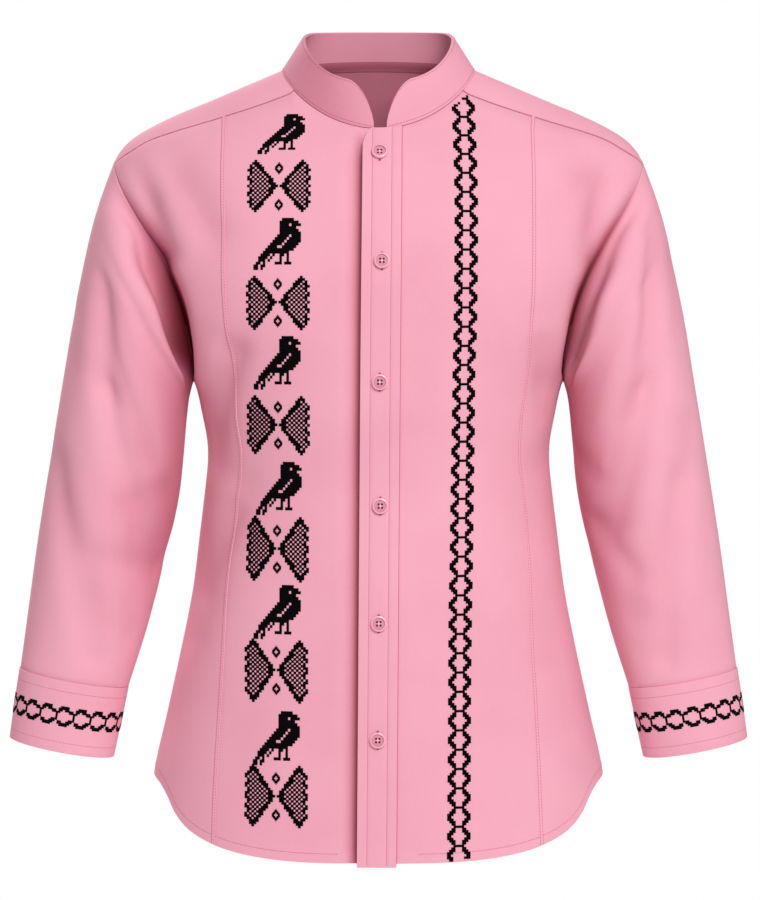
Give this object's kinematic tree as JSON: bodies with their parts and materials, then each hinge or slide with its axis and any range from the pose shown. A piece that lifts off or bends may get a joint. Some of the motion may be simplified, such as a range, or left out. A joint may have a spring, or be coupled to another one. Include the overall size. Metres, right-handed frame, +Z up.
{
  "type": "guayabera shirt",
  "caption": "Long-sleeved band-collar shirt with princess seams, a front button placket, plain ring cuffs and a curved shirt-tail hem, hollow and filled out as worn.",
  "frame": {"origin": "middle of the neck opening, level with the collar seam at the shoulders, where the wearer's shoulders and neck hold the shirt", "axes": "+Z up the body, -Y the way the buttoned front faces, +X to the wearer's left"},
  "size_m": [0.6574, 0.2638, 0.7305],
  "materials": {
    "cloth": "smooth woven cotton with a faint sheen",
    "button": "moulded polyester, satin",
    "thread": "stranded cotton embroidery thread"
  },
  "bodies": {
    "root": {"back": "cloth", "yoke": "cloth", "front_right_centre": "cloth", "front_right_side": "cloth", "front_left_centre": "cloth", "front_left_side": "cloth", "sleeve_right": "cloth", "sleeve_left": "cloth", "cuff_right": "cloth", "cuff_left": "cloth", "collar": "cloth", "placket": "cloth", "button_1": "button", "button_2": "button", "button_3": "button", "button_4": "button", "button_5": "button", "button_6": "button"}
  },
  "joints": []
}
